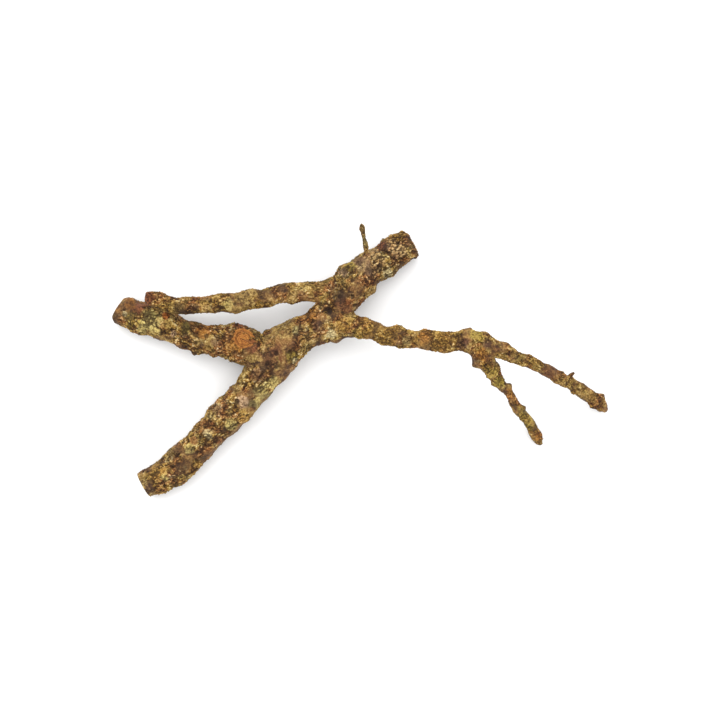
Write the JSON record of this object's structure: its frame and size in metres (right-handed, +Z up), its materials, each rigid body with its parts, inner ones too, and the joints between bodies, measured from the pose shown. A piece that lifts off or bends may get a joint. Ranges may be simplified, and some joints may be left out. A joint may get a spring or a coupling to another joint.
{
  "type": "cork branch",
  "caption": "Gnarled, lichen-grown oak branch with thick forked limbs, a sawn knot and thin twigs, lying flat as a terrarium or display branch.",
  "frame": {"origin": "on the surface that the branch lies on, under the middle of its bounding box", "axes": "+Z up, away from the surface; +X along the branch's longest extent, towards the twigs; +Y towards the spur and the rough upper end"},
  "size_m": [0.6237, 0.3422, 0.0949],
  "materials": {
    "bark": "rough mottled bark grown over with crusty lichen: yellow tan, olive, red brown and purple brown, with near black pits and sawn orange brown wood at the knot and the cut ends",
    "twig_bark": "thinner bark of the twigs: olive and tan lichen crust with red brown smooth stretches"
  },
  "bodies": {
    "root": {"stem": "bark", "lower_limb": "bark", "left_limb": "bark", "upper_branch": "bark", "right_branch": "bark", "long_twig": "twig_bark", "short_twig": "twig_bark", "spur": "twig_bark"}
  },
  "joints": []
}
